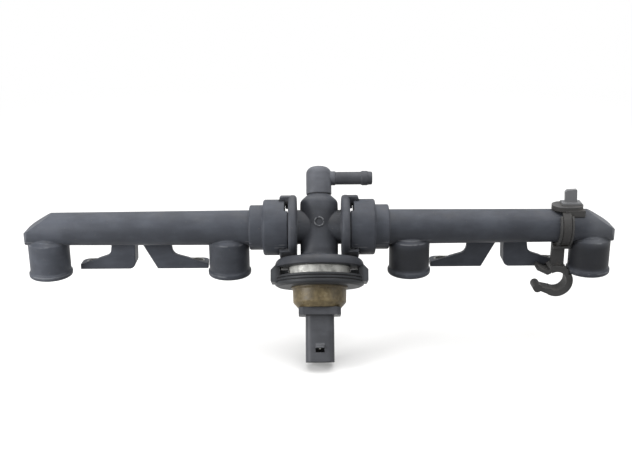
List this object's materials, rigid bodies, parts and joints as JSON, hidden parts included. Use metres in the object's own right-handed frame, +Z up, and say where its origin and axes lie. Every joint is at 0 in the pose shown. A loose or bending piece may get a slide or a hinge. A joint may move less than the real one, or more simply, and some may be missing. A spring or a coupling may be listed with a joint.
{
  "type": "fuel rail",
  "caption": "Moulded plastic fuel rail with injector cups, snap couplings to a central tee, hose elbow, sensor and bolt-down feet.",
  "frame": {"origin": "centre of the inner pair of foot holes, on the plane the feet stand on", "axes": "+X along the rail towards the end with the hose hook, +Y from the pipe towards the feet, +Z up away from the injectors"},
  "size_m": [0.2964, 0.0549, 0.0918],
  "materials": {
    "rail_plastic": "satin moulded",
    "tee_plastic": "satin moulded",
    "retainer_plastic": "matte moulded",
    "plug_plastic": "satin moulded",
    "amber_plastic": "natural amber, dusty",
    "zinc_steel": "zinc plated, dulled",
    "bush_steel": "turned",
    "probe_brass": "drawn",
    "terminal_metal": "tinned",
    "seal_rubber": "smooth",
    "backup_plastic": "natural",
    "clip_plastic": "matte, dusty"
  },
  "bodies": {
    "root": {"left_rail": "rail_plastic", "right_rail": "rail_plastic", "tee_body": "tee_plastic", "hose_elbow": "tee_plastic", "sensor_retainer": "retainer_plastic", "sensor_connector": "plug_plastic", "sensor_body": "amber_plastic", "sensor_case": "zinc_steel", "left_inner_foot_bush": "bush_steel", "left_outer_foot_bush": "bush_steel", "right_inner_foot_bush": "bush_steel", "right_outer_foot_bush": "bush_steel", "sensor_probe": "probe_brass", "sensor_terminal_1": "terminal_metal", "sensor_terminal_2": "terminal_metal", "sensor_terminal_3": "terminal_metal", "left_coupling_seal": "seal_rubber", "right_coupling_seal": "seal_rubber", "elbow_seal": "seal_rubber", "sensor_seal": "seal_rubber", "left_coupling_backup_ring": "backup_plastic", "right_coupling_backup_ring": "backup_plastic", "hook_clip": "clip_plastic", "clip_strap": "clip_plastic"}
  },
  "joints": []
}
